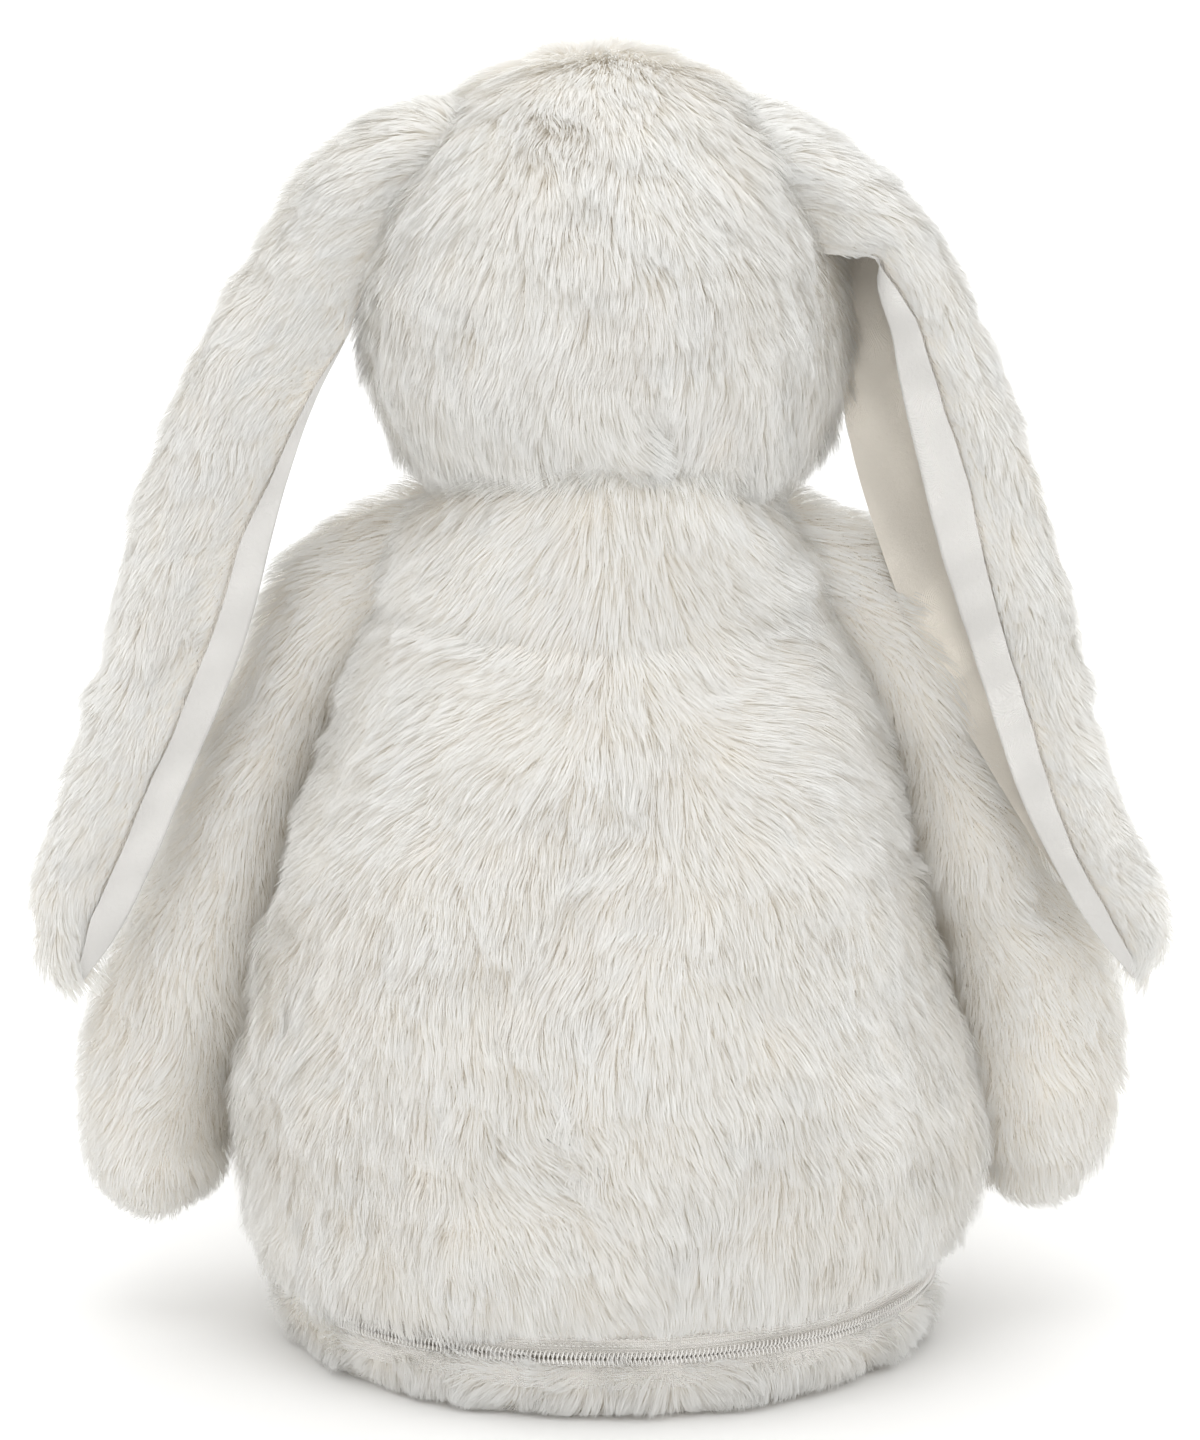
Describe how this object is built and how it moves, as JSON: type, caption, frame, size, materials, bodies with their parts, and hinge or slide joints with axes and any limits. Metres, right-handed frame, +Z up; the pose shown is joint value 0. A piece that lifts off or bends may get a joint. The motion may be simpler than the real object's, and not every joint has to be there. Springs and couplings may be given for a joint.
{
  "type": "stuffed toy rabbit",
  "caption": "Seated plush lop-eared rabbit with hanging arms, long lined ears and short front feet; zip round the base lets the stuffing bags out.",
  "frame": {"origin": "middle of the base panel's flat underside, on the floor", "axes": "+Z up, the rabbit faces -Y, +X is the rabbit's own left"},
  "size_m": [0.3416, 0.2841, 0.4],
  "materials": {
    "fur": "long pile, cream white",
    "smooth_plush": "short brushed knit",
    "liner_cloth": "thin spun cloth",
    "fibre_fill": "loose polyester fibre",
    "woven_tape": "woven tape",
    "zip_nylon": "nylon monofilament",
    "zip_metal": "white enamel on zinc",
    "thread": "satin embroidery",
    "eye_plastic": "polished",
    "washer_plastic": "moulded"
  },
  "bodies": {
    "body": {"back_panel": "fur", "tummy_panel": "fur", "body_pod_liner": "liner_cloth", "body_pod_fill": "fibre_fill", "zip_upper_tape": "woven_tape", "zip_upper_coil": "zip_nylon", "zip_end_stops": "zip_nylon"},
    "base": {"base_panel": "fur", "zip_lower_tape": "woven_tape", "zip_lower_coil": "zip_nylon"},
    "slider": {"zip_slider": "zip_metal"},
    "pull": {"zip_pull": "zip_metal"},
    "neck": {"neck_seam_tape": "woven_tape"},
    "head": {"head_back_panel": "fur", "forehead_gusset": "fur", "left_face_panel": "fur", "right_face_panel": "fur", "muzzle": "fur", "nose_stitching": "thread", "mouth_stitching": "thread", "head_pod_liner": "liner_cloth", "head_pod_fill": "fibre_fill", "left_eye": "eye_plastic", "right_eye": "eye_plastic", "left_eye_washer": "washer_plastic", "right_eye_washer": "washer_plastic"},
    "left_ear": {"left_ear_fur": "fur", "left_ear_lining": "smooth_plush"},
    "left_arm": {"left_arm_skin": "fur", "left_arm_stuffing": "fibre_fill"},
    "left_leg": {"left_leg_skin": "fur", "left_leg_stuffing": "fibre_fill", "left_sole_pad": "smooth_plush"},
    "right_ear": {"right_ear_fur": "fur", "right_ear_lining": "smooth_plush"},
    "right_arm": {"right_arm_skin": "fur", "right_arm_stuffing": "fibre_fill"},
    "right_leg": {"right_leg_skin": "fur", "right_leg_stuffing": "fibre_fill", "right_sole_pad": "smooth_plush"}
  },
  "joints": [
    {"name": "base_opening", "type": "hinge", "parent": "body", "child": "base", "pos_m": [0, -0.101, 0.02], "axis": [-1, 0, 0], "range_deg": [0, 36]},
    {"name": "slider_travel", "type": "hinge", "parent": "body", "child": "slider", "pos_m": [0, 0, 0.02], "axis": [0, 0, -1], "range_deg": [0, 146]},
    {"name": "pull_flip", "type": "hinge", "parent": "slider", "child": "pull", "pos_m": [-0.10279, -0.01445, 0.02], "axis": [0, 0, -1], "range_deg": [0, 150]},
    {"name": "neck_turn", "type": "hinge", "parent": "body", "child": "neck", "pos_m": [0, 0, 0.272], "axis": [0, 0, 1], "range_deg": [-35, 35]},
    {"name": "neck_nod", "type": "hinge", "parent": "neck", "child": "head", "pos_m": [0, 0, 0.272], "axis": [1, 0, 0], "range_deg": [-12, 15]},
    {"name": "left_ear_lift", "type": "hinge", "parent": "head", "child": "left_ear", "pos_m": [0.071, 0.004, 0.37164], "axis": [0, -1, 0], "range_deg": [0, 75]},
    {"name": "left_arm_swing", "type": "hinge", "parent": "body", "child": "left_arm", "pos_m": [0.08425, -0.012, 0.226], "axis": [-1, 0, 0], "range_deg": [-15, 80]},
    {"name": "left_leg_lift", "type": "hinge", "parent": "body", "child": "left_leg", "pos_m": [0.046, -0.12426, 0.024], "axis": [-1, 0, 0], "range_deg": [0, 25]},
    {"name": "right_ear_lift", "type": "hinge", "parent": "head", "child": "right_ear", "pos_m": [-0.071, 0.004, 0.37164], "axis": [0, 1, 0], "range_deg": [0, 75]},
    {"name": "right_arm_swing", "type": "hinge", "parent": "body", "child": "right_arm", "pos_m": [-0.08425, -0.012, 0.226], "axis": [-1, 0, 0], "range_deg": [-15, 80]},
    {"name": "right_leg_lift", "type": "hinge", "parent": "body", "child": "right_leg", "pos_m": [-0.046, -0.12426, 0.024], "axis": [-1, 0, 0], "range_deg": [0, 25]}
  ],
  "couplings": [
    {"joint": "slider_travel", "follows": "base_opening", "ratio": 4.0556}
  ]
}
